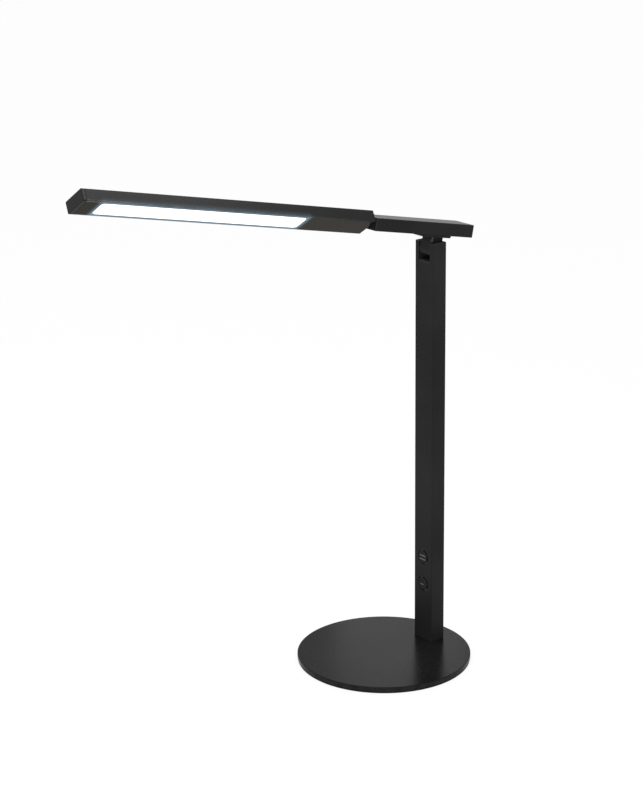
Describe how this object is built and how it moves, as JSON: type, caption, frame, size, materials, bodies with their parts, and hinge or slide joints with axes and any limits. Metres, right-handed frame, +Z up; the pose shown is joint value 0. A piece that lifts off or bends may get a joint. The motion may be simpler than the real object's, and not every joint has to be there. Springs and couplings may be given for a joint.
{
  "type": "led table lamp",
  "caption": "Slim black LED desk lamp: round base, upright post with push buttons, folding and swivelling arm, and a flat light bar head that rolls about its length.",
  "frame": {"origin": "middle of the underside of the round base, on the surface the lamp stands on", "axes": "+Z up along the post; the post stands on the +X side of the base and the head reaches toward -X; Y is across the post"},
  "size_m": [0.4549, 0.18, 0.5444],
  "materials": {
    "base_black": "matte",
    "post_black": "satin",
    "arm_black": "satin",
    "head_black": "satin",
    "hinge_black": "satin",
    "trim_black": "matte",
    "button_black": "matte",
    "pad_rubber": "matte",
    "screw_black": "satin",
    "steel": "polished",
    "plug_metal": "satin",
    "inner_plastic": "matte",
    "slip_plastic": "satin",
    "board_green": "satin",
    "part_black": "gloss",
    "lead_black": "matte",
    "contact_brass": "polished",
    "diffuser_white": "matte",
    "guide_clear": "gloss",
    "sheet_white": "matte",
    "strip_white": "satin",
    "led_yellow": "gloss"
  },
  "bodies": {
    "stand": {"base_plate": "base_black", "base_pad": "pad_rubber", "base_screws": "steel", "foot_plug": "plug_metal", "post_tube": "post_black", "hinge_yoke": "hinge_black", "yoke_screws": "screw_black", "hinge_pin": "steel", "hinge_washers": "steel", "control_sled": "inner_plastic", "control_board": "board_green", "tact_switches": "part_black", "board_parts": "part_black", "board_screws": "steel", "post_lead": "lead_black", "dc_socket": "part_black", "dc_pin": "contact_brass", "dc_terminals": "contact_brass"},
    "upper_button": {"upper_button": "button_black", "upper_plunger": "inner_plastic"},
    "lower_button": {"lower_button": "button_black", "lower_plunger": "inner_plastic"},
    "tongue": {"hinge_tongue": "hinge_black", "swivel_stud": "steel", "slip_washer": "slip_plastic", "swivel_washer": "steel", "swivel_nut": "steel"},
    "arm": {"swivel_pad": "trim_black", "arm_housing": "arm_black", "arm_cover": "trim_black", "arm_cover_screws": "screw_black", "roll_bush": "inner_plastic"},
    "head": {"roll_shaft": "steel", "roll_washer": "steel", "roll_ring_nut": "steel", "head_end_block": "trim_black", "head_housing": "head_black", "head_end_cap": "trim_black", "head_panel": "trim_black", "diffuser": "diffuser_white", "light_guide": "guide_clear", "reflector_sheet": "sheet_white", "led_strip": "strip_white", "led_chips": "led_yellow"}
  },
  "joints": [
    {"name": "arm_tilt", "type": "hinge", "parent": "stand", "child": "tongue", "pos_m": [0.0599, 0, 0.427], "axis": [0, 1, 0], "range_deg": [-101.5, 3.5]},
    {"name": "arm_swivel", "type": "hinge", "parent": "tongue", "child": "arm", "pos_m": [0.0648, 0, 0.4483], "axis": [0.1994, 0, 0.9799], "range_deg": [-90, 90]},
    {"name": "head_roll", "type": "hinge", "parent": "arm", "child": "head", "pos_m": [-0.02085, 0, 0.46573], "axis": [-0.9799, 0, 0.1994], "range_deg": [-126.2, 53.8]},
    {"name": "upper_button_press", "type": "slide", "parent": "stand", "child": "upper_button", "axis": [1, 0, 0], "range_m": [0, 0.0008], "stiffness_N_per_m": 1500, "springref_m": -0.0005},
    {"name": "lower_button_press", "type": "slide", "parent": "stand", "child": "lower_button", "axis": [1, 0, 0], "range_m": [0, 0.0008], "stiffness_N_per_m": 1500, "springref_m": -0.0005}
  ]
}
